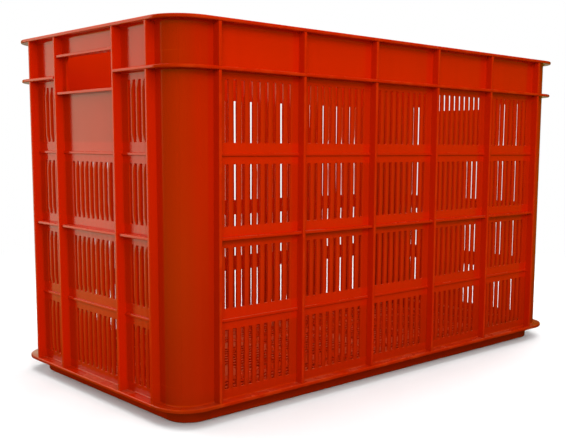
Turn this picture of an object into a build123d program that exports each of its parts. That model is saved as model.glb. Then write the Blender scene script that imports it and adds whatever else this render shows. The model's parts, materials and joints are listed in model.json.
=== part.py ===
from build123d import *
import os
from math import radians, sqrt, tan

# Stacking harvest crate, moulded in one shot and divided here into its walls, corners, flanges and ribs.
# Millimetres, +Z up, origin on the ground at the middle of the footprint. The front long side faces -Y.

os.makedirs("parts", exist_ok=True)

# Overall sizes
length = 600.0  # over the rim, along X
width = 315.0  # over the rim, along Y
height = 361.0  # ground to the top of the rim
corner_radius = 35.0  # rim outline in plan
draft_angle = 0.25  # inward lean of the walls towards the ground, in degrees

# Walls
wall = 2.2
flange_depth = 9.5  # wall face to the flange line
band_height = 41.7  # top of the stacking flange to the top of the rim

# Flanges
rim_thickness = 3.5
rim_root = 3.0  # round between the wall and the underside of the rim
rim_lip = 0.8  # round of the rim's inner edge
stacking_thickness = 3.3
base_thickness = 3.8
flange_root = 1.4  # round between the wall and the other flanges
flange_round = 1.2

# Base
skirt_height = 14.5
skirt_setback = 16.9  # flange line to the skirt's face
skirt_radius = 23.3
skirt_wall = 4.0
skirt_round = 1.5
floor_thickness = 3.0
floor_rib_height = 5.0

# Upright ribs and horizontal rails
rib_thickness = 3.2
rib_setback = 0.7  # flange line to the rib's edge
rib_round = 0.8
long_bays = 5
corner_gap_long = 14.6  # end of a long run to its outermost rib
corner_gap_end = 9.3  # end of a short run to its outermost rib
handle_bay = 113.6  # between the two ribs beside a hand hole
rail_thickness = 2.8
rail_round = 0.7
deep_rail = 6.6
slim_rail = 1.6

# Slots
slot_rows = 4
slot_width = 4.2
slot_pitch = 9.25
slot_margin = 8.5  # least plain strip beside a rib
handle_margin = 13.5  # the same in the bay of a hand hole
slot_sill = 9.2  # plain strip above a rail
slot_head = 10.2  # plain strip from the slots to the top of the next rail

# Hand holes
hole_width = 96.0
hole_height = 34.0
hole_drop = 24.0  # rim top to hole top
hole_radius = 4.0
hole_rib_depth = 7.6

# Shares and limits
round_share = 0.45  # most of a thickness that the rounds of its two edges take, each
single_round_share = 0.9  # the same where only one edge is rounded
facing = 0.99  # least cosine between a face's normal and a direction that it faces

# Heights of the layers
base_top = skirt_height + base_thickness
stacking_top = height - band_height
stacking_low = stacking_top - stacking_thickness
rim_low = height - rim_thickness
row_pitch = (stacking_top - base_top) / slot_rows
slot_length = row_pitch - slot_sill - slot_head
hole_top = height - hole_drop
hole_low = hole_top - hole_height

# Corner centres of the walls and flanges, and of the skirt, which has its own corner radius
core_x = length / 2 - corner_radius
core_y = width / 2 - corner_radius
lean = tan(radians(draft_angle))
skirt_reach = corner_radius - (height - skirt_height) * lean - skirt_setback
skirt_core_x = core_x + skirt_reach - skirt_radius
skirt_core_y = core_y + skirt_reach - skirt_radius
skirt_bore = skirt_radius - skirt_wall
base_bore = sqrt(2) * (skirt_reach - skirt_radius) + skirt_bore

# Places of the ribs along the sides, from the middle of each side
long_span = 2 * (core_x - corner_gap_long)
long_ribs = [long_span * (bay / long_bays - 0.5) for bay in range(long_bays + 1)]
end_ribs = [corner_gap_end - core_y, -handle_bay / 2, handle_bay / 2, core_y - corner_gap_end]
handle_clear = handle_bay - rib_thickness


# Outlines of the sections of runs and corners: x is the distance out from the corner centres, y the height

def flange_line(z):
    """Reach of the flange edges at a height."""
    return corner_radius - (height - z) * lean


def wall_face(z):
    """Reach of the wall's outer face at a height."""
    return flange_line(z) - flange_depth


def wall_bore(z):
    """Reach of the wall's inner face at a height."""
    return wall_face(z) - wall


def edge_round(wanted, thickness):
    """Edge radius that a thickness leaves room for."""
    return min(wanted, round_share * thickness)


def root_arc(flange_face, upward, radius):
    """Round in the corner of a flange's face and the wall, above the face (1) or below it (-1)."""
    start = (wall_face(flange_face) + radius, flange_face)
    stop_height = flange_face + upward * radius
    stop = (wall_face(stop_height), stop_height)
    return TangentArc(start, stop, tangent=(-1, 0))


def wall_outline():
    """Leaning wall between the base flange and the rim."""
    Polyline(
        (wall_bore(base_top), base_top),
        (wall_face(base_top), base_top),
        (wall_face(rim_low), rim_low),
        (wall_bore(rim_low), rim_low),
        close=True,
    )


def rim_outline():
    """Rim flange with the round under it."""
    root = root_arc(rim_low, -1, rim_root)
    edge = edge_round(flange_round, rim_thickness)
    FilletPolyline(
        root @ 1,
        (wall_face(rim_low), rim_low),
        (wall_bore(rim_low), rim_low),
        (wall_bore(height), height),
        (flange_line(height), height),
        (flange_line(rim_low), rim_low),
        root @ 0,
        radius=[0, 0, edge_round(rim_lip, rim_thickness), edge, edge],
    )


def stacking_outline():
    """Stacking flange with the rounds below and above it."""
    low_root = root_arc(stacking_low, -1, flange_root)
    high_root = root_arc(stacking_top, 1, flange_root)
    edge = edge_round(flange_round, stacking_thickness)
    FilletPolyline(
        low_root @ 0,
        (flange_line(stacking_low), stacking_low),
        (flange_line(stacking_top), stacking_top),
        high_root @ 0,
        radius=[edge, edge],
    )
    Line(high_root @ 1, low_root @ 1)


def base_outline():
    """Base flange, which reaches in under the wall as far as the skirt does."""
    root = root_arc(base_top, 1, flange_root)
    edge = edge_round(flange_round, base_thickness)
    FilletPolyline(
        root @ 1,
        (wall_face(base_top), base_top),
        (base_bore, base_top),
        (base_bore, skirt_height),
        (flange_line(skirt_height), skirt_height),
        (flange_line(base_top), base_top),
        root @ 0,
        radius=[0, 0, 0, edge, edge],
    )


def skirt_outline():
    """Skirt, measured from its own corner centres."""
    FilletPolyline(
        (skirt_bore, skirt_height),
        (skirt_bore, 0),
        (skirt_radius, 0),
        (skirt_radius, skirt_height),
        radius=[0, 0, min(skirt_round, single_round_share * skirt_wall), 0],
        close=True,
    )


def rib_outline(low, low_root, high, high_root):
    """Upright rib between two flanges, fitted round the arcs at their roots."""
    low_arc = root_arc(low, 1, low_root)
    high_arc = root_arc(high, -1, high_root)
    Line(low_arc @ 1, high_arc @ 1)
    Polyline(
        low_arc @ 0,
        (flange_line(low) - rib_setback, low),
        (flange_line(high) - rib_setback, high),
        high_arc @ 0,
    )


def rail_outline(top, depth):
    """Horizontal rail on the wall's face, given the height of its top and how far it stands out."""
    low = top - rail_thickness
    edge = edge_round(rail_round, min(rail_thickness, depth))
    FilletPolyline(
        (wall_face(low), low),
        (wall_face(low) + depth, low),
        (wall_face(top) + depth, top),
        (wall_face(top), top),
        radius=[0, edge, edge, 0],
        close=True,
    )


def section_face(plane, outline, *sizes):
    """Section on a plane, bounded by an outline."""
    with BuildSketch(plane) as sketch:
        with BuildLine():
            outline(*sizes)
        make_face()
    return sketch.sketch


# Sides and corners

def side_plane(name, centre_x, centre_y):
    """Plane of a side through the corner centres: x along the side, y up, z outward."""
    planes = {"front": Plane.front, "back": Plane.back, "left": Plane.left, "right": Plane.right}
    return planes[name].offset(centre_y if name in ("front", "back") else centre_x)


def across(side, place):
    """Plane across a side at a place along it: x outward, y up."""
    origin = side.from_local_coords(Vector(place, 0, 0))
    return Plane(origin=origin, x_dir=side.z_dir, z_dir=-side.x_dir)


def along(side, start, end, outline, *sizes):
    """Extrudes a section along a side between two places."""
    extrude(section_face(across(side, end), outline, *sizes), amount=end - start)


def corner_plane(centre, outward):
    """Plane at a corner's centre: x outward at the start of its quarter turn, y up."""
    out = Vector(*outward)
    return Plane(origin=centre, x_dir=out, z_dir=out.cross(Vector(0, 0, 1)))


def quarter_turn(face, centre):
    """Turns a section by a quarter about a corner's centre."""
    revolve(face, axis=Axis(centre, (0, 0, 1)), revolution_arc=90)


def save(piece, name):
    """Labels a finished piece and writes its file."""
    piece.part.label = name
    export_step(piece.part, f"parts/{name}.step")


def bays(ribs):
    """Clear start and end of each bay between neighbouring ribs."""
    half = rib_thickness / 2
    return [(low + half, high - half) for low, high in zip(ribs, ribs[1:])]


def slot_count(clear, margin):
    """Slots that fit between the plain strips of a bay."""
    return int((clear - 2 * margin - slot_width) / slot_pitch) + 1


def round_rib_edges(piece, side):
    """Rounds the two long edges of every rib's outer face."""
    outer = [face for face in piece.faces() if face.normal_at().dot(side.z_dir) > facing]
    edges = [edge for face in outer for edge in face.edges() if edge.length > 2 * rib_thickness]
    fillet(edges, edge_round(rib_round, rib_thickness))


for name in ("front", "back", "left", "right"):
    is_end = name in ("left", "right")
    side = side_plane(name, core_x, core_y)
    half_run = core_y if is_end else core_x
    ribs = end_ribs if is_end else long_ribs
    handle_ribs = end_ribs[1:3] if is_end else []
    handle_bays = [(-handle_clear / 2, handle_clear / 2)] if is_end else []

    # Slotted wall, with the hand hole and the plain plate below it on an end
    with BuildPart() as side_wall:
        along(side, -half_run, half_run, wall_outline)
        with BuildSketch(side):
            for start, end in bays(ribs):
                in_handle_bay = is_end and start < 0 < end
                count = slot_count(end - start, handle_margin if in_handle_bay else slot_margin)
                for row in range(slot_rows - 1 if in_handle_bay else slot_rows):
                    middle = base_top + row * row_pitch + slot_sill + slot_length / 2
                    with Locations(((start + end) / 2, middle)):
                        with GridLocations(slot_pitch, 0, count, 1):
                            Rectangle(slot_width, slot_length)
            if is_end:
                with Locations((0, (hole_top + hole_low) / 2)):
                    RectangleRounded(hole_width, hole_height, hole_radius)
        extrude(amount=corner_radius, mode=Mode.SUBTRACT)
    save(side_wall, f"{name}_end_wall" if is_end else f"{name}_wall")

    # Upright ribs: whole beside a hand hole, otherwise parted by the stacking flange
    with BuildPart() as side_ribs:
        for place in ribs:
            start = place - rib_thickness / 2
            end = place + rib_thickness / 2
            if place in handle_ribs:
                along(side, start, end, rib_outline, base_top, flange_root, rim_low, rim_root)
            else:
                along(side, start, end, rib_outline, base_top, flange_root, stacking_low, flange_root)
                along(side, start, end, rib_outline, stacking_top, flange_root, rim_low, rim_root)
        round_rib_edges(side_ribs, side)
    save(side_ribs, f"{name}_ribs")

    # Rails between the ribs: a deep one at mid height, slim ones at the other row borders
    deep_row = slot_rows // 2
    with BuildPart() as deep_rails:
        for start, end in bays(ribs):
            along(side, start, end, rail_outline, base_top + deep_row * row_pitch, deep_rail)
    save(deep_rails, f"{name}_deep_rails")
    with BuildPart() as slim_rails:
        for row in range(1, slot_rows):
            if row != deep_row:
                for start, end in bays(ribs):
                    along(side, start, end, rail_outline, base_top + row * row_pitch, slim_rail)
    save(slim_rails, f"{name}_slim_rails")

    # Ribs above and below a hand hole
    for start, end in handle_bays:
        with BuildPart() as hole_ribs:
            for top in (hole_top + rail_thickness, hole_low):
                along(side, start, end, rail_outline, top, hole_rib_depth)
        save(hole_ribs, f"{name}_hand_hole_ribs")

    # Flange runs: the stacking flange stops at the ribs beside a hand hole
    with BuildPart() as rim:
        along(side, -half_run, half_run, rim_outline)
    save(rim, f"{name}_rim")
    stacking_runs = [(-half_run, half_run)]
    if is_end:
        stacking_stop = (handle_bay + rib_thickness) / 2
        stacking_runs = [(-half_run, -stacking_stop), (stacking_stop, half_run)]
    with BuildPart() as stacking_flange:
        for start, end in stacking_runs:
            along(side, start, end, stacking_outline)
    save(stacking_flange, f"{name}_stacking_flange")
    with BuildPart() as base_flange:
        along(side, -half_run, half_run, base_outline)
    save(base_flange, f"{name}_base_flange")

    # Skirt run
    skirt_side = side_plane(name, skirt_core_x, skirt_core_y)
    skirt_half = skirt_core_y if is_end else skirt_core_x
    with BuildPart() as skirt:
        along(skirt_side, -skirt_half, skirt_half, skirt_outline)
    save(skirt, f"{name}_skirt")

corners = {
    "front_left": (-1, -1, (-1, 0, 0)),
    "front_right": (1, -1, (0, -1, 0)),
    "back_right": (1, 1, (1, 0, 0)),
    "back_left": (-1, 1, (0, 1, 0)),
}
for name, (toward_x, toward_y, outward) in corners.items():
    centre = (toward_x * core_x, toward_y * core_y, 0)
    skirt_centre = (toward_x * skirt_core_x, toward_y * skirt_core_y, 0)
    turned = {
        "corner_column": (wall_outline, centre),
        "rim_corner": (rim_outline, centre),
        "stacking_flange_corner": (stacking_outline, centre),
        "base_flange_corner": (base_outline, centre),
        "skirt_corner": (skirt_outline, skirt_centre),
    }
    for kind, (outline, pivot) in turned.items():
        with BuildPart() as corner:
            quarter_turn(section_face(corner_plane(pivot, outward), outline), pivot)
        save(corner, f"{name}_{kind}")

# Floor inside the skirt, slotted lengthwise in line with the end walls' slots
floor_half_x = skirt_core_x + skirt_bore
floor_half_y = skirt_core_y + skirt_bore
floor_rib_places = [(place, 0) for place in long_ribs]
with BuildPart() as floor_panel:
    with BuildSketch(Plane.XY.offset(floor_rib_height)):
        RectangleRounded(2 * floor_half_x, 2 * floor_half_y, skirt_bore)
        for left, right in bays(long_ribs):
            for start, end in bays(end_ribs):
                with Locations(((left + right) / 2, (start + end) / 2)):
                    with GridLocations(0, slot_pitch, 1, slot_count(end - start, slot_margin)):
                        Rectangle(right - left - 2 * slot_margin, slot_width, mode=Mode.SUBTRACT)
    extrude(amount=floor_thickness)
save(floor_panel, "floor_panel")

# Ribs under the floor, in line with the ribs of the walls
with BuildPart() as floor_cross_ribs:
    with BuildSketch(Plane.XY):
        with Locations(*floor_rib_places):
            Rectangle(rib_thickness, 2 * floor_half_y)
    extrude(amount=floor_rib_height)
save(floor_cross_ribs, "floor_cross_ribs")

cross_stops = [-floor_half_x - rib_thickness / 2, *long_ribs, floor_half_x + rib_thickness / 2]
with BuildPart() as floor_long_ribs:
    with BuildSketch(Plane.XY):
        for left, right in bays(cross_stops):
            for place in end_ribs:
                with Locations(((left + right) / 2, place)):
                    Rectangle(right - left, rib_thickness)
    extrude(amount=floor_rib_height)
save(floor_long_ribs, "floor_long_ribs")
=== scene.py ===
import json
from math import cos, pi, radians, sin

import bmesh
import bpy
from bpy.props import FloatProperty, FloatVectorProperty, IntProperty, PointerProperty
from mathutils import Matrix, Vector
from mathutils.bvhtree import BVHTree


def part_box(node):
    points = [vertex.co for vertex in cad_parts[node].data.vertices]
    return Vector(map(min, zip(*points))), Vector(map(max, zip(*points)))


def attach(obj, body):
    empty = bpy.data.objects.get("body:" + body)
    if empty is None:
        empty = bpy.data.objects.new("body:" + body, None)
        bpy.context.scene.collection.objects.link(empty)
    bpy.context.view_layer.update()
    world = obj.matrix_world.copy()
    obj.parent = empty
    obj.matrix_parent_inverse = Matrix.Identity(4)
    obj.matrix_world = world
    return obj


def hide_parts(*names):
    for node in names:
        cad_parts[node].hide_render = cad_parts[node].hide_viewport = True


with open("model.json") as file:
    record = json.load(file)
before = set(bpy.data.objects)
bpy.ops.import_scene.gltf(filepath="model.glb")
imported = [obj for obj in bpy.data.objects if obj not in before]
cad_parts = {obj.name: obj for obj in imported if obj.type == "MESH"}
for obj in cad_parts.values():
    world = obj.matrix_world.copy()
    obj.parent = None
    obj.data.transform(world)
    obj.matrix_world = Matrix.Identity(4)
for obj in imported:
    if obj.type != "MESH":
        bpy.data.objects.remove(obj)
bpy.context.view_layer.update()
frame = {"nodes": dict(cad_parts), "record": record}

bl_info = {
    "name": "Harvest crate",
    "version": (1, 0, 0),
    "blender": (4, 5, 0),
    "location": "View3D > Sidebar > Harvest crate",
    "description": "Dresses the solids of a stacking harvest crate as moulded plastic, in a plain studio",
    "category": "Object",
}

X, Y, Z = range(3)
AXES = (Vector((1, 0, 0)), Vector((0, 1, 0)), Vector((0, 0, 1)))
BODY = "root"
LONG_WALLS = ("front_wall", "back_wall")
END_WALLS = {"left_end_wall": "left_hand_hole", "right_end_wall": "right_hand_hole"}

# Limits for reading and rebuilding the panels; lengths in metres
LEVEL_DIGITS = 5  # decimal places that tell two levels of a panel apart
TOUCH = 1e-5  # closeness at which a corner counts as on a border
SLAT_LIMIT = 0.008  # greatest width of a slat between two slots
CROWN_FADE = 0.008  # length over which a slat's crown rises at each end
HOLE_MARGIN = 0.0025  # distance around a hand hole's opening within which its edge lies
PROBE_REACH = 3  # length of a probe for material, in thicknesses of the panel
SQUARE_TURN = radians(60)  # least angle between the two faces of an edge that gets softened
FLAT_WEIGHT = 90  # pull of large flat faces on the shading of the rounds beside them

# Borders of the finishes and of the painted shade, in metres, from where one starts to where it is full
ON_LONG_SIDE = (0.0, 0.006)  # past the width of the ends
ON_WALL = (0.0075, 0.0092)  # depth behind the line of the flanges
ON_EDGE = (0.0019, 0.0002)  # depth behind that line
ON_COLUMN_X = (-0.016, -0.012)  # past a corner's centre, along the crate
ON_COLUMN_Y = (-0.0095, -0.0075)  # past a corner's centre, across the crate
ON_BEND = (0.0, 0.012)  # past a corner's centre both ways
ON_SEAM = (0.0006, 0.0)  # difference between the two ways
WALL_GROUND = (0.13, 0.03)  # height
COLUMN_GROUND = (0.25, 0.03)  # height
FOOT_GROUND = (0.035, 0.015)  # height
SLOT_FADE = 0.002  # half of the soft border of the painted shade at the ends of the slots

# Shares of the deep colour, for flow streaks and for painted shade
STREAK_DEEP = 0.14
SIDE_PAINTED_SHADE = 0.36  # painted shade on flanges, ribs and rails of the long sides
# painted shade on the corner columns
COLUMN_PAINTED_SHADE = 0.35
COLUMN_SIDE_PAINTED_SHADE = 0.25  # more painted shade on a column's part of the long side
COLUMN_BEND_PAINTED_SHADE = 0.36  # and more painted shade on its bend

# Shares of painted shade between the slots and towards the ground, of wear and of dust
SLOT_SHADE = 0.35
LOW_WALL_SHADE = 0.28
COLUMN_GROUND_SHADE = 0.45
FOOT_SHADE = 0.42
SHADE_LEAST = 0.75  # share of the painted shade that is left where the patches are thinnest
SHADE_PATCHES = 0.5  # what the patches add to it
RUBBED_WEAR = 0.25
SCRATCHED_WEAR = 0.12
DUST_COVER = 0.35

# Levels of a noise between which a mark starts and is full
STREAK_LEVELS = (0.42, 0.68)
RUB_LEVELS = (0.42, 0.66)
SCRATCH_LEVELS = (0.69, 0.76)
SCRATCH_PATCH_LEVELS = (0.48, 0.62)
DUST_LEVELS = (0.35, 0.75)
DUST_FACING = (0.55, 0.95)  # upward part of the surface's normal

# Scale of streaks and scratches along X, Y and Z per metre, and turn of the scratches in radians
STREAK_SCALE = (55.0, 55.0, 5.0)
UPRIGHT_SCALE = (420.0, 420.0, 9.0)
UPRIGHT_TURN = (0.05, 0.12, 0.0)
SIDEWAYS_SCALE = (10.0, 10.0, 380.0)
SIDEWAYS_TURN = (0.0, 0.1, 0.2)

# Roughness that is taken off, and that unevenness, wear and dust add
EVEN_GLOSS = 0.05
UNEVEN_ROUGHNESS = 0.12
WORN_ROUGHNESS = 0.18
DUST_ROUGHNESS = 0.3

# Studio; lengths in metres
PHOTO_SIZE = (566, 440)  # pixels
SENSOR_WIDTH = 36.0  # millimetres
FLOOR_SIZE = 60.0
FLOOR_GAP = 0.0004  # between the floor and the crate
FLOOR_WHITE = (0.38, 1.15)  # distances from the crate between which the floor fades to white
FLOOR_BACKDROP = (0.0, 1.9)  # and between which reflections of it brighten to the backdrop
FLOOR_ROOM = (0.0, 1.2)  # or to the room
WHITE = (1.0, 1.0, 1.0, 1.0)
LEVEL_PART = (1.0, 1.0, 0.0)  # what is kept of a direction for its heading
RAY_KINDS = ("Camera", "Glossy", "Transmission")
BACKDROP_HALF = radians(9)  # half of the backdrop's spread around the crate
BACKDROP_EDGE = radians(10)  # width of its soft edge
BACKDROP_FOOT = (-0.29, 0.0, 0.0)  # place on the floor that the backdrop's foot spreads from
HORIZON_DIM = 0.16  # brightness of the rest of the room in reflections, at the floor's far edge
ZENITH_DIM = 0.08  # and higher up
ZENITH_RISE = (0.0, 0.25)  # upward part of a direction over which it dims
LAMP_AIM = Vector((0.0, 0.0, 0.2))

# Background behind the crate in reflections: direction from +X to +Y, half spread, share of brightness
BEHIND_SKY = (radians(70), radians(6), 1.0)
BEHIND_FLOOR = (radians(49), radians(20), 0.2)

# Lamps: name, setting of the power, width and height, place
LAMPS = (
    ("key", "key_power", (1.6, 1.2), (-1.5, -1.9, 0.85)),
    ("side", "side_power", (1.4, 1.2), (-1.0, 2.0, 0.7)),
    ("top", "top_power", (2.5, 2.5), (0.0, 0.0, 2.2)),
    ("fill", "fill_power", (1.4, 1.0), (-0.5, -1.7, 1.6)),
    ("far right", "far_power", (1.4, 1.2), (1.8, 0.3, 0.9)),
)


# Settings

class CrateShapeSettings(bpy.types.PropertyGroup):
    slot_round: FloatProperty(
        name="Slot edge round", description="Radius of the edges of the slots in the walls",
        default=0.0003, min=0.0001, max=0.001, unit="LENGTH", precision=4)
    floor_round: FloatProperty(
        name="Floor slot round", description="Radius of the edges of the slots in the floor",
        default=0.0007, min=0.0001, max=0.0014, unit="LENGTH", precision=4)
    slat_crown: FloatProperty(
        name="Slat crown", description="Height of the rounded outer face of each slat between two slots",
        default=0.0006, min=0.0, max=0.002, unit="LENGTH", precision=4)
    slat_lift: FloatProperty(
        name="Slat lift", description="Height of the slats' edges over the wall around them",
        default=0.0003, min=0.0, max=0.002, unit="LENGTH", precision=4)
    crown_steps: IntProperty(
        name="Crown steps", description="Faces across the rounded face of a slat", default=4, min=2, max=12)
    round_steps: IntProperty(
        name="Round steps", description="Faces across each small round", default=3, min=1, max=8)
    corner_steps: IntProperty(
        name="Corner steps", description="Faces across the corners of a hand hole and of the floor",
        default=10, min=2, max=32)


class CratePlasticSettings(bpy.types.PropertyGroup):
    colour: FloatVectorProperty(
        name="Colour", description="Colour of the clean plastic", subtype="COLOR",
        default=(0.555, 0.0125, 0.0002), min=0.0, max=1.0)
    # flow streaks, and painted shade on the long sides' flanges, ribs and rails and on the corner columns
    streak_and_shade_colour: FloatVectorProperty(
        name="Streak and shade colour", description="Colour of flow streaks and of painted shade on the long sides and columns", subtype="COLOR",
        default=(0.37, 0.0085, 0.0002), min=0.0, max=1.0)
    worn_colour: FloatVectorProperty(
        name="Worn colour", description="Colour of rubbed edges and scratches", subtype="COLOR",
        default=(0.64, 0.06, 0.006), min=0.0, max=1.0)
    # painted shade between the slots and towards the ground
    slot_and_ground_shade_colour: FloatVectorProperty(
        name="Slot and ground shade colour", description="Colour of painted shade between the slots and near the ground",
        subtype="COLOR", default=(0.30, 0.0145, 0.0003), min=0.0, max=1.0)
    dust_colour: FloatVectorProperty(
        name="Dust colour", description="Colour of the dust on upward faces", subtype="COLOR",
        default=(0.34, 0.13, 0.06), min=0.0, max=1.0)
    gloss: FloatProperty(
        name="Roughness", description="Roughness of the clean plastic", default=0.15, min=0.0, max=1.0)
    mirror: FloatProperty(
        name="Specular level", description="Strength of the plastic's reflections",
        default=0.5, min=0.0, max=1.0)
    grain: FloatProperty(
        name="Grain height", description="Height of the fine moulded grain",
        default=0.00002, min=0.0, max=0.001, unit="LENGTH", precision=5)
    seam: FloatProperty(
        name="Seam height", description="Height of the mould seam on the corner columns",
        default=0.0001, min=0.0, max=0.001, unit="LENGTH", precision=5)
    waviness: FloatProperty(
        name="Waviness", description="Height of the broad unevenness of the walls",
        default=0.0003, min=0.0, max=0.01, unit="LENGTH", precision=5)


class CrateStudioSettings(bpy.types.PropertyGroup):
    floor_colour: FloatVectorProperty(
        name="Floor colour", description="Colour of the plain floor", subtype="COLOR",
        default=(0.86, 0.86, 0.86), min=0.0, max=1.0)
    floor_bounce: FloatVectorProperty(
        name="Floor bounce", description="Colour that the floor has in the light that it throws back",
        subtype="COLOR", default=(0.25, 0.24, 0.08), min=0.0, max=1.0)
    backdrop_colour: FloatVectorProperty(
        name="Backdrop colour", description="Colour of the backdrop in reflections", subtype="COLOR",
        default=(1.0, 0.97, 0.69), min=0.0, max=1.0)
    room_colour: FloatVectorProperty(
        name="Room colour", description="Colour of the dimmer surroundings in reflections",
        subtype="COLOR", default=(1.0, 0.95, 0.0), min=0.0, max=1.0)
    backdrop_turn: FloatProperty(
        name="Backdrop direction", description="Direction of the backdrop, from +X towards +Y",
        subtype="ANGLE", default=radians(118))
    backdrop_level: FloatProperty(
        name="Backdrop level", description="Brightness of the backdrop in reflections",
        default=1.22, min=0.0)
    room_turn: FloatProperty(
        name="Room direction", description="Direction of the room's brighter side, from +X towards +Y",
        subtype="ANGLE", default=radians(200))
    room_level: FloatProperty(
        name="Room level", description="Brightness of the room's brighter side in reflections",
        default=0.2, min=0.0)
    key_power: FloatProperty(
        name="Key power", description="Power of the lamp in front of the near corner",
        default=36.5, min=0.0, subtype="POWER")
    side_power: FloatProperty(
        name="Side power", description="Power of the lamp behind the left end",
        default=47.0, min=0.0, subtype="POWER")
    top_power: FloatProperty(
        name="Top power", description="Power of the lamp above the crate",
        default=54.0, min=0.0, subtype="POWER")
    fill_power: FloatProperty(
        name="Fill power", description="Power of the lamp high in front",
        default=22.0, min=0.0, subtype="POWER")
    far_power: FloatProperty(
        name="Far power", description="Power of the lamp beside the right end",
        default=26.0, min=0.0, subtype="POWER")
    eye: FloatVectorProperty(
        name="Camera place", description="Place of the camera", subtype="XYZ", unit="LENGTH",
        default=(-0.6996, -0.7542, 0.2512))
    focal_pixels: FloatProperty(
        name="Focal length", description="Focal length of the camera, in pixels of the photo",
        default=845.7, min=1.0)
    yaw: FloatProperty(
        name="Yaw", description="Turn of the camera to the right of +Y", subtype="ANGLE",
        default=radians(43.228))
    pitch: FloatProperty(
        name="Pitch", description="Downward tilt of the camera", subtype="ANGLE", default=radians(6.215))
    roll: FloatProperty(
        name="Roll", description="Turn of the camera about its view", subtype="ANGLE",
        default=radians(0.429))
    centre: FloatVectorProperty(
        name="Image centre",
        description="Place in the photo that the camera points at, in pixels from its upper left corner",
        size=2, default=(314.4, 237.8))


# Shader maths

class Value:
    """Wraps a shader socket, so that arithmetic on it adds Math nodes."""

    def __init__(self, graph, socket):
        self.graph = graph
        self.socket = socket

    def maths(self, operation, *terms):
        return self.graph.node("ShaderNodeMath", {"operation": operation}, dict(enumerate(terms)))

    def __add__(self, other):
        return self.maths("ADD", self, other)

    def __radd__(self, other):
        return self.maths("ADD", other, self)

    def __sub__(self, other):
        return self.maths("SUBTRACT", self, other)

    def __rsub__(self, other):
        return self.maths("SUBTRACT", other, self)

    def __mul__(self, other):
        return self.maths("MULTIPLY", self, other)

    def __rmul__(self, other):
        return self.maths("MULTIPLY", other, self)

    def __abs__(self):
        return self.maths("ABSOLUTE", self)

    def __pow__(self, other):
        return self.maths("POWER", self, other)

    def at_least(self, other):
        return self.maths("MAXIMUM", self, other)

    def at_most(self, other):
        return self.maths("MINIMUM", self, other)


class Graph:
    """Node tree of a material or a world, filled by calls and by arithmetic on values."""

    def __init__(self, owner):
        owner.use_nodes = True
        self.tree = owner.node_tree
        self.tree.nodes.clear()

    def node(self, kind, settings=None, inputs=None, output=0):
        """Adds a node, applies its settings, fills its inputs and returns one of its outputs."""
        made = self.tree.nodes.new(kind)
        for name, value in (settings or {}).items():
            setattr(made, name, value)
        for name, value in (inputs or {}).items():
            if isinstance(value, Value):
                self.tree.links.new(value.socket, made.inputs[name])
            else:
                made.inputs[name].default_value = value
        return Value(self, made.outputs[output]) if len(made.outputs) else None

    def step(self, value, start, end):
        """Smooth step of a value, from 0 at start to 1 at end."""
        inputs = {"Value": value, "From Min": start, "From Max": end}
        return self.node("ShaderNodeMapRange", {"interpolation_type": "SMOOTHSTEP"}, inputs)

    def band(self, value, low, high, fade):
        """1 between two levels of a value and 0 outside them, with soft borders."""
        return self.step(value, low - fade, low + fade) * self.step(value, high + fade, high - fade)

    def mix(self, share, first, second):
        """Mixes two colours."""
        inputs = {"Factor": share, 6: first, 7: second}
        return self.node("ShaderNodeMix", {"data_type": "RGBA"}, inputs, 2)

    def vector(self, operation, first, second=None, output="Vector"):
        """Vector maths on one or two vectors."""
        inputs = {0: first} if second is None else {0: first, 1: second}
        return self.node("ShaderNodeVectorMath", {"operation": operation}, inputs, output)

    def stretched(self, place, scale, turn=(0, 0, 0)):
        """Place scaled along its axes and turned."""
        return self.node("ShaderNodeMapping", None, {"Vector": place, "Scale": scale, "Rotation": turn})

    def noise(self, place, scale, detail, distortion=0.0):
        """Even noise from 0 to 1 at a scale per unit of the place."""
        inputs = {"Vector": place, "Scale": scale, "Detail": detail, "Distortion": distortion}
        return self.node("ShaderNodeTexNoise", None, inputs)


def opaque(colour):
    """Colour with an alpha of 1."""
    return (*colour, 1.0)


# Sizes that the finish takes from the solids

def crate_plan():
    """Corner centres, corner radius, height and lean of the line of the flanges, in metres."""
    rim_low, rim_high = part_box("front_rim")
    core_x = rim_high.x
    core_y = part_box("left_end_wall")[1].y
    radius = -rim_low.y - core_y
    base_radius = -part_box("front_base_flange")[0].y - core_y
    lean = (radius - base_radius) / (rim_high.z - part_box("front_skirt")[1].z)
    return core_x, core_y, radius, rim_high.z, lean


def slot_strips():
    """Bottom and top of each row of slots, in metres."""
    low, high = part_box("front_wall")
    edges = levels("front_wall", Z, lambda place: low.z + TOUCH < place.z < high.z - TOUCH)
    return list(zip(edges[0::2], edges[1::2]))


# Plastic of the whole crate

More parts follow.
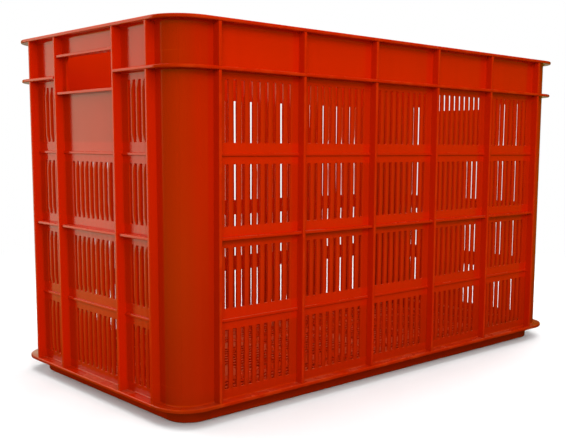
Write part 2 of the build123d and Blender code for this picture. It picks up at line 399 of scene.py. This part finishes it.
def crate_plastic():
    """Red-orange moulded plastic with flow streaks, rubbed edges, scratches, dust and a fine grain, and
    painted shade on the long sides, the columns, between the slots and near the ground.
    """
    name = "crate plastic"
    if name in bpy.data.materials:
        return bpy.data.materials[name]
    settings = bpy.context.scene.crate_plastic
    material = bpy.data.materials.new(name)
    graph = Graph(material)
    place = graph.node("ShaderNodeTexCoord", output="Object")
    separate = graph.node("ShaderNodeSeparateXYZ", None, {"Vector": place})
    x, y, z = (Value(graph, socket) for socket in separate.socket.node.outputs)
    normal = graph.node("ShaderNodeNewGeometry", output="Normal")
    facing = graph.node("ShaderNodeSeparateXYZ", None, {"Vector": normal}, "Z")

    # Depth behind the line of the flanges: nothing on the edges of flanges and ribs, more on the walls
    core_x, core_y, radius, height, lean = crate_plan()
    past_x = (abs(x) - core_x).at_least(0.0)
    past_y = (abs(y) - core_y).at_least(0.0)
    reach = (past_x * past_x + past_y * past_y) ** 0.5
    depth = radius - (height - z) * lean - reach

    # Parts of the crate
    wall = graph.step(depth, *ON_WALL)
    long_side = graph.step(past_y, *ON_LONG_SIDE)
    column = graph.step(abs(x) - core_x, *ON_COLUMN_X) * graph.step(abs(y) - core_y, *ON_COLUMN_Y)
    bend = graph.step(past_x.at_most(past_y), *ON_BEND)

    # Tone: broad patches and flow streaks that run up the walls, with painted shade on the long sides'
    # flanges, ribs and rails and on the corner columns, most on a column's long-side part and bend
    patches = graph.noise(place, scale=9.0, detail=3.0)
    streaks = graph.noise(graph.stretched(place, STREAK_SCALE), scale=1.0, detail=4.0, distortion=0.6)
    streaked = graph.step((patches + streaks) * 0.5, *STREAK_LEVELS)
    # painted shade on the long sides' flanges, ribs and rails, and on the columns
    painted_side_shade = (1.0 - wall) * long_side * SIDE_PAINTED_SHADE
    painted_column_shade = column * (COLUMN_PAINTED_SHADE + long_side * COLUMN_SIDE_PAINTED_SHADE + bend * COLUMN_BEND_PAINTED_SHADE)
    streaks_and_shade = (streaked * STREAK_DEEP + painted_side_shade.at_least(painted_column_shade)).at_most(1.0)
    colour = graph.mix(streaks_and_shade, opaque(settings.colour), opaque(settings.streak_and_shade_colour))

    # Painted shade: darker between the slots, and towards the ground on the long walls, columns and foot
    rows = [graph.band(z, low, high, SLOT_FADE) for low, high in slot_strips()]
    slotted = rows[0]
    for row in rows[1:]:
        slotted = slotted.at_least(row)
    low_wall = graph.step(z, *WALL_GROUND) * long_side
    wall_shade = wall * (1.0 - column) * (slotted * SLOT_SHADE + low_wall * LOW_WALL_SHADE)
    low_column_shade = column * graph.step(z, *COLUMN_GROUND) * COLUMN_GROUND_SHADE
    foot_shade = graph.step(z, *FOOT_GROUND) * FOOT_SHADE
    patchy = SHADE_LEAST + patches * SHADE_PATCHES
    slot_and_ground_shade = ((wall_shade + low_column_shade + foot_shade) * patchy).at_most(1.0)
    colour = graph.mix(slot_and_ground_shade, colour, opaque(settings.slot_and_ground_shade_colour))

    # Rubbed edges and scratches
    rub_noise = graph.noise(place, scale=45.0, detail=5.0, distortion=0.4)
    rubbed = graph.step(depth, *ON_EDGE) * graph.step(rub_noise, *RUB_LEVELS)
    scratch_patch = graph.step(graph.noise(place, scale=13.0, detail=2.0), *SCRATCH_PATCH_LEVELS)
    upright = graph.noise(graph.stretched(place, UPRIGHT_SCALE, UPRIGHT_TURN), scale=1.0, detail=1.0)
    sideways = graph.noise(graph.stretched(place, SIDEWAYS_SCALE, SIDEWAYS_TURN), scale=1.0, detail=1.0)
    scratches = graph.step(upright.at_least(sideways), *SCRATCH_LEVELS) * scratch_patch
    worn = (rubbed * RUBBED_WEAR + scratches * SCRATCHED_WEAR).at_most(1.0)
    colour = graph.mix(worn, colour, opaque(settings.worn_colour))

    # Dust on upward faces
    dust_noise = graph.noise(place, scale=30.0, detail=6.0)
    dust = graph.step(facing, *DUST_FACING) * graph.step(dust_noise, *DUST_LEVELS)
    colour = graph.mix(dust * DUST_COVER, colour, opaque(settings.dust_colour))

    # Gloss, fine grain, broad unevenness and the mould seam
    uneven = graph.noise(place, scale=60.0, detail=4.0) * UNEVEN_ROUGHNESS
    roughness = settings.gloss - EVEN_GLOSS + uneven + worn * WORN_ROUGHNESS + dust * DUST_ROUGHNESS
    grain = graph.noise(place, scale=1100.0, detail=2.0)
    broad = graph.noise(place, scale=16.0, detail=1.0)
    seam = column * graph.step(abs(past_x - past_y), *ON_SEAM)
    relief = grain * settings.grain + broad * settings.waviness + seam * settings.seam
    bump = graph.node("ShaderNodeBump", None, {"Distance": 1.0, "Strength": 1.0, "Height": relief})
    inputs = {
        "Base Color": colour,
        "Roughness": roughness,
        "Specular IOR Level": settings.mirror,
        "Normal": bump,
    }
    surface = graph.node("ShaderNodeBsdfPrincipled", None, inputs)
    graph.node("ShaderNodeOutputMaterial", None, {"Surface": surface})
    return material


# Reading the solids

def node_corners(node):
    """Places of a node's corners."""
    return [corner.co for corner in frame["nodes"][node].data.vertices]


def levels(node, axis, accept):
    """Places along an axis where a node has corners of the accepted kind."""
    return sorted({round(place[axis], LEVEL_DIGITS) for place in node_corners(node) if accept(place)})


def wall_sheet(node, run, out):
    """Corners of a wall's outer face, and the step from there to its inner face."""
    low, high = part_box(node)
    side = 1 if low[out] + high[out] > 0 else -1

    def face_distances(z):
        """Distances of the inner and the outer face from the crate's middle, at a height."""
        distances = [abs(place[out]) for place in node_corners(node) if abs(place.z - z) < TOUCH]
        return min(distances), max(distances)

    corners = []
    for z, place in ((low.z, low[run]), (low.z, high[run]), (high.z, high[run]), (high.z, low[run])):
        outer = face_distances(z)[1]
        corners.append(AXES[run] * place + AXES[out] * (side * outer) + AXES[Z] * z)
    inner, outer = face_distances(high.z)
    inward = AXES[out] * (side * (inner - outer))
    return corners, inward


def hole_sides(node, run, opening):
    """Start and end of a hand hole along its wall and in height, read around its declared opening."""
    low, high = opening
    margin = HOLE_MARGIN + TOUCH

    def near_opening(place):
        return all(low[axis] - margin < place[axis] < high[axis] + margin for axis in (run, Z))

    sides = {}
    for axis in (run, Z):
        places = levels(node, axis, near_opening)
        sides[axis] = (places[0], places[-1])
    return sides


def find_slats(node, run, heights, on_slot):
    """Start and end along the wall, bottom and top of each slat between two neighbouring slots."""
    slats = []
    for bottom, top in zip(heights[0::2], heights[1::2]):
        edges = levels(node, run, lambda place: on_slot(place) and bottom - TOUCH < place.z < top + TOUCH)
        for start, end in zip(edges[1::2], edges[2::2]):
            if end - start < SLAT_LIMIT:
                slats.append((start, end, bottom, top))
    return slats


# Shaping the panels

def cut_sheet(corners, cuts):
    """Sheet between four corners, cut across at the levels given for each axis."""
    bm = bmesh.new()
    bm.faces.new([bm.verts.new(corner) for corner in corners])
    for axis, places in cuts.items():
        for place in places:
            everything = [*bm.verts, *bm.edges, *bm.faces]
            plane = {"plane_co": AXES[axis] * place, "plane_no": AXES[axis]}
            bmesh.ops.bisect_plane(bm, geom=everything, dist=TOUCH, **plane)
    return bm


def open_cells(bm, node, inward):
    """Deletes the cells of a sheet behind which the node has no material."""
    solid = bmesh.new()
    solid.from_mesh(frame["nodes"][node].data)
    tree = BVHTree.FromBMesh(solid)
    empty = []
    for cell in bm.faces:
        start = cell.calc_center_median() - inward
        hit = tree.ray_cast(start, inward.normalized(), PROBE_REACH * inward.length)
        if hit[0] is None:
            empty.append(cell)
    bmesh.ops.delete(bm, geom=empty, context="FACES")
    solid.free()


def thicken(bm, inward):
    """Gives a sheet its thickness."""
    extruded = bmesh.ops.extrude_face_region(bm, geom=bm.faces[:])
    moved = [corner for corner in extruded["geom"] if isinstance(corner, bmesh.types.BMVert)]
    bmesh.ops.translate(bm, verts=moved, vec=inward)
    bmesh.ops.recalc_face_normals(bm, faces=bm.faces[:])


def square_edges(bm, accept):
    """Edges with a square turn whose middle is of the accepted kind."""
    found = []
    for edge in bm.edges:
        middle = (edge.verts[0].co + edge.verts[1].co) / 2
        if edge.calc_face_angle(0.0) > SQUARE_TURN and accept(middle):
            found.append(edge)
    return found


def lies_along(edge, axis):
    """Whether an edge runs along an axis."""
    span = edge.verts[1].co - edge.verts[0].co
    return all(abs(span[other]) < TOUCH for other in (X, Y, Z) if other != axis)


def soften(bm, edges, radius, steps):
    """Rounds edges."""
    bmesh.ops.bevel(
        bm, geom=edges, offset=radius, offset_type="OFFSET", affect="EDGES", segments=steps, profile=0.5,
        material=-1, clamp_overlap=True)


def crown_slats(bm, run, slats, corners, inward, lift, height):
    """Raises the outer faces of the slats, most along their middles, and leaves their inner faces flat."""
    plane = (corners[1] - corners[0]).cross(corners[3] - corners[0]).normalized()
    thickness = inward.dot(plane)
    outward = -inward.normalized()
    for corner in bm.verts:
        outer_share = 1.0 - (corner.co - corners[0]).dot(plane) / thickness
        for start, end, bottom, top in slats:
            if start - TOUCH < corner.co[run] < end + TOUCH and bottom < corner.co.z < top:
                across = 2 * (corner.co[run] - start) / (end - start) - 1
                along = min(1.0, (corner.co.z - bottom) / CROWN_FADE, (top - corner.co.z) / CROWN_FADE)
                raised = along * (lift + height * (1 - across * across))
                corner.co += outward * (outer_share * raised)
                break


def shade_panel(bm, is_border):
    """Smooth shading that stays crisp along the borders with neighbouring pieces."""
    for face in bm.faces:
        face.smooth = True
    for edge in bm.edges:
        edge.smooth = not all(is_border(corner.co) for corner in edge.verts)


def even_shading(piece):
    """Keeps flat faces flat beside their rounded edges."""
    modifier = piece.modifiers.new("even shading", "WEIGHTED_NORMAL")
    modifier.keep_sharp = True
    modifier.weight = FLAT_WEIGHT


def new_piece(bm, name, node):
    """Turns a finished panel into a plastic piece of the crate that stands for a node."""
    mesh = bpy.data.meshes.new(name)
    bm.to_mesh(mesh)
    bm.free()
    piece = bpy.data.objects.new(name, mesh)
    bpy.context.scene.collection.objects.link(piece)
    mesh.materials.append(crate_plastic())
    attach(piece, BODY)
    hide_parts(node)
    even_shading(piece)


def build_wall(node, run, out, hole):
    """Slotted wall with crowned slats and softened slots, and a softened hand hole where it has one."""
    settings = bpy.context.scene.crate_shape
    low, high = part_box(node)

    def on_border(place):
        return min(place[run] - low[run], high[run] - place[run], place.z - low.z, high.z - place.z) < TOUCH

    def in_hole(place):
        if not hole:
            return False
        return all(start - TOUCH < place[axis] < end + TOUCH for axis, (start, end) in hole.items())

    def on_slot(place):
        return not on_border(place) and not in_hole(place)

    slot_levels = {axis: levels(node, axis, on_slot) for axis in (run, Z)}
    slats = find_slats(node, run, slot_levels[Z], on_slot)
    cuts = {axis: [*places, *hole.get(axis, ())] for axis, places in slot_levels.items()}
    strips = settings.crown_steps
    for start, end, bottom, top in slats:
        cuts[run] += [start + (end - start) * strip / strips for strip in range(1, strips)]
        cuts[Z] += [bottom + CROWN_FADE, top - CROWN_FADE]
    for axis, places in cuts.items():
        cuts[axis] = sorted({round(place, LEVEL_DIGITS) for place in places})
    corners, inward = wall_sheet(node, run, out)
    bm = cut_sheet(corners, cuts)
    open_cells(bm, node, inward)
    thicken(bm, inward)
    if hole:
        flat_half = min(abs(place) for place in levels(node, run, in_hole))
        through = [edge for edge in square_edges(bm, in_hole) if lies_along(edge, out)]
        soften(bm, through, hole[run][1] - flat_half, settings.corner_steps)
    inner_edges = square_edges(bm, lambda place: not on_border(place))
    soften(bm, inner_edges, settings.slot_round, settings.round_steps)
    crown_slats(bm, run, slats, corners, inward, settings.slat_lift, settings.slat_crown)
    shade_panel(bm, on_border)
    new_piece(bm, f"{node}_panel", node)


# Studio

def rays(graph):
    """Shares of camera rays and of mirror and see-through rays."""
    path = graph.node("ShaderNodeLightPath").socket.node
    camera, glossy, through = (Value(graph, path.outputs[f"Is {kind} Ray"]) for kind in RAY_KINDS)
    return camera, (glossy + through).at_most(1.0)


def surroundings(graph, settings, direction, background, backdrop_reach, dim, room_reach):
    """Colour and strength of the surroundings.

    They are white for the camera. Reflections show a backdrop, a background and a dim room.
    """
    heading = graph.vector("NORMALIZE", graph.vector("MULTIPLY", direction, LEVEL_PART))

    def towards(turn):
        return graph.vector("DOT_PRODUCT", heading, (cos(turn), sin(turn), 0.0), "Value")

    def bright_side(turn, half):
        return graph.step(towards(turn), cos(half + BACKDROP_EDGE), cos(half))

    camera, mirrored = rays(graph)
    beside = bright_side(settings.backdrop_turn, BACKDROP_HALF)
    behind_turn, behind_half, behind_share = background
    behind = bright_side(behind_turn, behind_half)
    backdrop = beside.at_least(behind * behind_share) * backdrop_reach
    room = towards(settings.room_turn).at_least(0.0) * settings.room_level
    paler = beside.at_least(behind) * backdrop_reach
    shade = graph.mix(paler, opaque(settings.room_colour), opaque(settings.backdrop_colour))
    colour = graph.mix(mirrored, WHITE, shade)
    strength = camera + mirrored * (backdrop * settings.backdrop_level + (room + dim) * room_reach)
    return colour, strength


def lay_floor(settings):
    """Plain pale floor that fades to white in the distance."""
    bm = bmesh.new()
    bmesh.ops.create_grid(bm, x_segments=1, y_segments=1, size=FLOOR_SIZE / 2)
    bmesh.ops.translate(bm, verts=bm.verts[:], vec=(0, 0, -FLOOR_GAP))
    mesh = bpy.data.meshes.new("studio_floor")
    bm.to_mesh(mesh)
    bm.free()
    floor = bpy.data.objects.new("studio_floor", mesh)
    bpy.context.scene.collection.objects.link(floor)
    material = bpy.data.materials.new("studio floor")
    graph = Graph(material)
    place = graph.node("ShaderNodeTexCoord", output="Object")
    distance = graph.vector("LENGTH", place, output="Value")
    camera, mirrored = rays(graph)
    paint = graph.mix(camera, opaque(settings.floor_bounce), opaque(settings.floor_colour))
    painted = graph.node("ShaderNodeBsdfDiffuse", None, {"Color": paint})
    from_foot = graph.vector("SUBTRACT", place, BACKDROP_FOOT)
    backdrop_reach = graph.step(distance, *FLOOR_BACKDROP)
    room_reach = graph.step(distance, *FLOOR_ROOM)
    colour, strength = surroundings(
        graph, settings, from_foot, BEHIND_FLOOR, backdrop_reach, HORIZON_DIM, room_reach)
    white = graph.node("ShaderNodeEmission", None, {"Color": colour, "Strength": strength})
    far = camera * graph.step(distance, *FLOOR_WHITE) + mirrored
    surface = graph.node("ShaderNodeMixShader", None, {0: far, 1: painted, 2: white})
    graph.node("ShaderNodeOutputMaterial", None, {"Surface": surface})
    mesh.materials.append(material)


def hang_lamp(name, power, size, place):
    """Soft rectangular lamp, aimed at the crate, that lights without a hard glint."""
    lamp = bpy.data.lights.new(name, "AREA")
    lamp.shape = "RECTANGLE"
    lamp.size, lamp.size_y = size
    lamp.energy = power
    lamp.cycles.use_multiple_importance_sampling = False
    hung = bpy.data.objects.new(name, lamp)
    hung.visible_glossy = False
    turn = (Vector(place) - LAMP_AIM).to_track_quat("Z", "Y").to_matrix().to_4x4()
    hung.matrix_world = Matrix.Translation(place) @ turn
    bpy.context.scene.collection.objects.link(hung)


def surround(settings):
    """World that is white for the camera and a studio in reflections."""
    world = bpy.data.worlds.new("studio")
    graph = Graph(world)
    direction = graph.node("ShaderNodeTexCoord", output="Generated")
    rise = graph.node("ShaderNodeSeparateXYZ", None, {"Vector": direction}, "Z")
    dim = HORIZON_DIM + graph.step(rise, *ZENITH_RISE) * (ZENITH_DIM - HORIZON_DIM)
    colour, strength = surroundings(graph, settings, direction, BEHIND_SKY, 1.0, dim, 1.0)
    shade = graph.node("ShaderNodeBackground", None, {"Color": colour, "Strength": strength})
    graph.node("ShaderNodeOutputWorld", None, {"Surface": shade})
    bpy.context.scene.world = world


def place_camera(settings):
    """Camera at the photo's place and angle."""
    lens = bpy.data.cameras.new("photo camera")
    lens.sensor_width = SENSOR_WIDTH
    photo_width, photo_height = PHOTO_SIZE
    centre_x, centre_y = settings.centre
    lens.lens = settings.focal_pixels * SENSOR_WIDTH / photo_width
    lens.shift_x = (photo_width / 2 - centre_x) / photo_width
    lens.shift_y = (centre_y - photo_height / 2) / photo_width
    eye = bpy.data.objects.new("photo camera", lens)
    turn = Matrix.Rotation(-settings.yaw, 4, "Z")
    tilt = Matrix.Rotation(pi / 2 - settings.pitch, 4, "X")
    roll = Matrix.Rotation(settings.roll, 4, "Z")
    eye.matrix_world = Matrix.Translation(settings.eye) @ turn @ tilt @ roll
    bpy.context.scene.collection.objects.link(eye)
    bpy.context.scene.camera = eye


# Operators

class CRATE_OT_long_walls(bpy.types.Operator):
    """Build the two long walls with softened slots and crowned slats"""
    bl_idname = "crate.long_walls"
    bl_label = "Long walls"

    def execute(self, context):
        for node in LONG_WALLS:
            build_wall(node, X, Y, {})
        return {"FINISHED"}


class CRATE_OT_end_walls(bpy.types.Operator):
    """Build the two end walls with softened slots, crowned slats and hand holes"""
    bl_idname = "crate.end_walls"
    bl_label = "End walls"

    def execute(self, context):
        openings = {opening["name"]: opening["box_m"] for opening in frame["record"]["physics"]["openings"]}
        for node, opening in END_WALLS.items():
            build_wall(node, Y, X, hole_sides(node, Y, openings[opening]))
        return {"FINISHED"}


class CRATE_OT_floor_panel(bpy.types.Operator):
    """Build the slotted floor with softened slots"""
    bl_idname = "crate.floor_panel"
    bl_label = "Floor panel"

    def execute(self, context):
        settings = context.scene.crate_shape
        low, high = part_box("floor_panel")
        slots_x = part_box("floor_cross_ribs")[1].x
        slots_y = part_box("floor_long_ribs")[1].y
        side_run = levels("floor_panel", X, lambda place: place.y > high.y - TOUCH)
        corner_radius = high.x - side_run[-1]

        def in_slots(place):
            return abs(place.x) < slots_x and abs(place.y) < slots_y

        def on_side(place):
            return min(high.x - abs(place.x), high.y - abs(place.y)) < TOUCH

        cuts = {axis: levels("floor_panel", axis, in_slots) for axis in (X, Y)}
        outline = [(low.x, low.y), (high.x, low.y), (high.x, high.y), (low.x, high.y)]
        bm = cut_sheet([(x, y, high.z) for x, y in outline], cuts)
        down = Vector((0, 0, low.z - high.z))
        open_cells(bm, "floor_panel", down)
        thicken(bm, down)
        upright = [edge for edge in square_edges(bm, on_side) if lies_along(edge, Z)]
        soften(bm, upright, corner_radius, settings.corner_steps)
        soften(bm, square_edges(bm, in_slots), settings.floor_round, settings.round_steps)
        shade_panel(bm, lambda place: not in_slots(place))
        new_piece(bm, "floor_panel_slotted", "floor_panel")
        return {"FINISHED"}


class CRATE_OT_moulding(bpy.types.Operator):
    """Give the columns, flanges, ribs, rails, skirt and floor ribs their plastic"""
    bl_idname = "crate.moulding"
    bl_label = "Moulded columns, flanges and ribs"

    def execute(self, context):
        for node in frame["nodes"].values():
            node.data.materials.clear()
            node.data.materials.append(crate_plastic())
        return {"FINISHED"}


class CRATE_OT_studio(bpy.types.Operator):
    """Set up the floor, the lamps, the surroundings and the camera"""
    bl_idname = "crate.studio"
    bl_label = "Studio"

    def execute(self, context):
        settings = context.scene.crate_studio
        lay_floor(settings)
        for name, power, size, place in LAMPS:
            hang_lamp(name, getattr(settings, power), size, place)
        surround(settings)
        place_camera(settings)
        context.scene.view_settings.view_transform = "Standard"
        return {"FINISHED"}


class CRATE_PT_builder(bpy.types.Panel):
    """Lists the steps and settings of the crate"""
    bl_label = "Harvest crate"
    bl_idname = "CRATE_PT_builder"
    bl_space_type = "VIEW_3D"
    bl_region_type = "UI"
    bl_category = "Harvest crate"

    def draw(self, context):
        column = self.layout.column()
        for step in STEPS:
            column.operator(step.bl_idname)
        for group in GROUPS:
            settings = getattr(context.scene, group)
            for name in settings.__annotations__:
                column.prop(settings, name)


GROUPS = {
    "crate_shape": CrateShapeSettings,
    "crate_plastic": CratePlasticSettings,
    "crate_studio": CrateStudioSettings,
}
STEPS = (
    CRATE_OT_long_walls,
    CRATE_OT_end_walls,
    CRATE_OT_floor_panel,
    CRATE_OT_moulding,
    CRATE_OT_studio,
)


def register():
    for item in (*GROUPS.values(), *STEPS, CRATE_PT_builder):
        bpy.utils.register_class(item)
    for name, group in GROUPS.items():
        setattr(bpy.types.Scene, name, PointerProperty(type=group))


def unregister():
    for name in GROUPS:
        delattr(bpy.types.Scene, name)
    for item in (CRATE_PT_builder, *reversed(STEPS), *GROUPS.values()):
        bpy.utils.unregister_class(item)


def main():
    register()
    bpy.ops.crate.long_walls()
    bpy.ops.crate.end_walls()
    bpy.ops.crate.floor_panel()
    bpy.ops.crate.moulding()
    bpy.ops.crate.studio()


if __name__ == "__main__":
    main()
